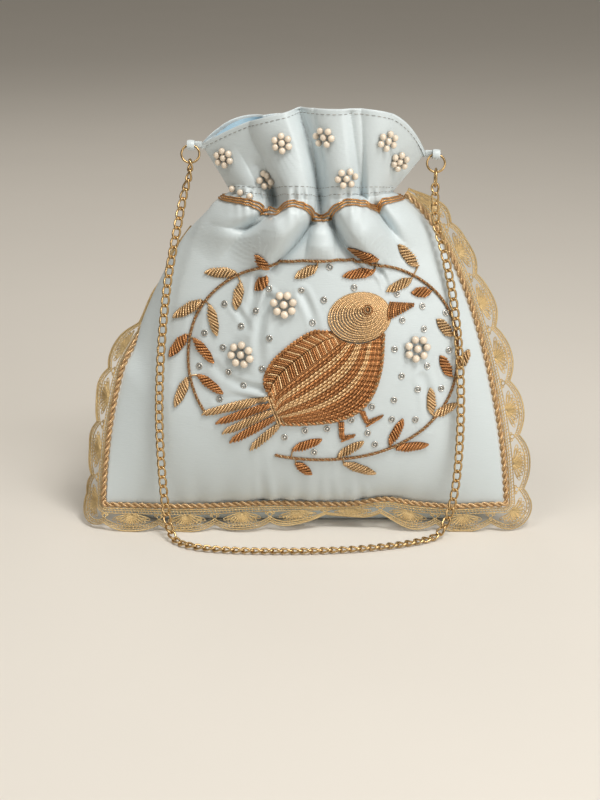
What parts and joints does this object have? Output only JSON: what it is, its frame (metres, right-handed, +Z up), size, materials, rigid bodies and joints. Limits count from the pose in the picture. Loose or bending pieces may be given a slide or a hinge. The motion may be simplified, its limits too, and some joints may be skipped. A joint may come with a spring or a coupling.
{
  "type": "potli bag",
  "caption": "Satin potli bag with a gathered ruffled neck, a couched-wire bird inside a leafy wreath, a lace and cord edging, pearl flowers and a gold chain handle",
  "frame": {"origin": "centre of the flat underside that the bag stands on", "axes": "+Z up through the mouth, -Y the embroidered front, +X the viewer's right when facing the front"},
  "size_m": [0.2504, 0.1075, 0.232],
  "materials": {
    "satin": "pale ice-blue satin with a soft sheen",
    "lining_cloth": "plain blue satin lining",
    "gold_lace": "looped lace of pale gold metallic thread",
    "gold_chain": "polished pale gold-plated chain and rings",
    "gold_thread": "pale gold metallic thread, twisted into cord and coiled for the embroidery",
    "copper_thread": "antique copper metallic thread, coiled for the embroidery",
    "pearl": "warm ivory imitation pearl"
  },
  "bodies": {
    "bag": {"front_panel": "satin", "back_panel": "satin", "left_loop": "satin", "right_loop": "satin", "lining": "lining_cloth", "lace_trim": "gold_lace", "edge_cord": "gold_thread", "neck_band": "copper_thread", "wreath_stem": "gold_thread", "bird_body": "copper_thread", "bird_head": "gold_thread", "bird_beak": "copper_thread", "bird_leg_1": "copper_thread", "bird_leg_2": "copper_thread", "leaf_01": "gold_thread", "leaf_02": "gold_thread", "leaf_03": "gold_thread", "leaf_04": "gold_thread", "leaf_05": "copper_thread", "leaf_06": "copper_thread", "leaf_07": "gold_thread", "leaf_08": "copper_thread", "leaf_09": "gold_thread", "leaf_10": "copper_thread", "leaf_11": "copper_thread", "leaf_12": "gold_thread", "leaf_13": "gold_thread", "leaf_14": "copper_thread", "leaf_15": "gold_thread", "leaf_16": "copper_thread", "leaf_17": "gold_thread", "leaf_18": "copper_thread", "leaf_19": "copper_thread", "leaf_20": "gold_thread", "leaf_21": "gold_thread", "leaf_22": "copper_thread", "leaf_23": "copper_thread", "tail_feather_1": "gold_thread", "tail_feather_2": "copper_thread", "tail_feather_3": "gold_thread", "tail_feather_4": "copper_thread", "tail_feather_5": "gold_thread", "pearl_flower_1": "pearl", "pearl_flower_2": "pearl", "pearl_flower_3": "pearl", "pearl_flower_4": "pearl", "pearl_flower_5": "pearl", "pearl_flower_6": "pearl", "pearl_flower_7": "pearl", "pearl_flower_8": "pearl", "pearl_flower_9": "pearl"},
    "chain": {"chain_left_upper": "gold_chain", "chain_left_lower": "gold_chain", "chain_front_left": "gold_chain", "chain_front_right": "gold_chain", "chain_right_lower": "gold_chain", "chain_right_upper": "gold_chain", "left_ring": "gold_chain", "right_ring_upper": "gold_chain", "right_ring_lower": "gold_chain"}
  },
  "joints": [
    {"name": "chain_swing", "type": "hinge", "parent": "bag", "child": "chain", "pos_m": [0.0046, -0.00215, 0.2073], "axis": [-0.9993, 0, 0.0383], "range_deg": [0, 180]}
  ]
}
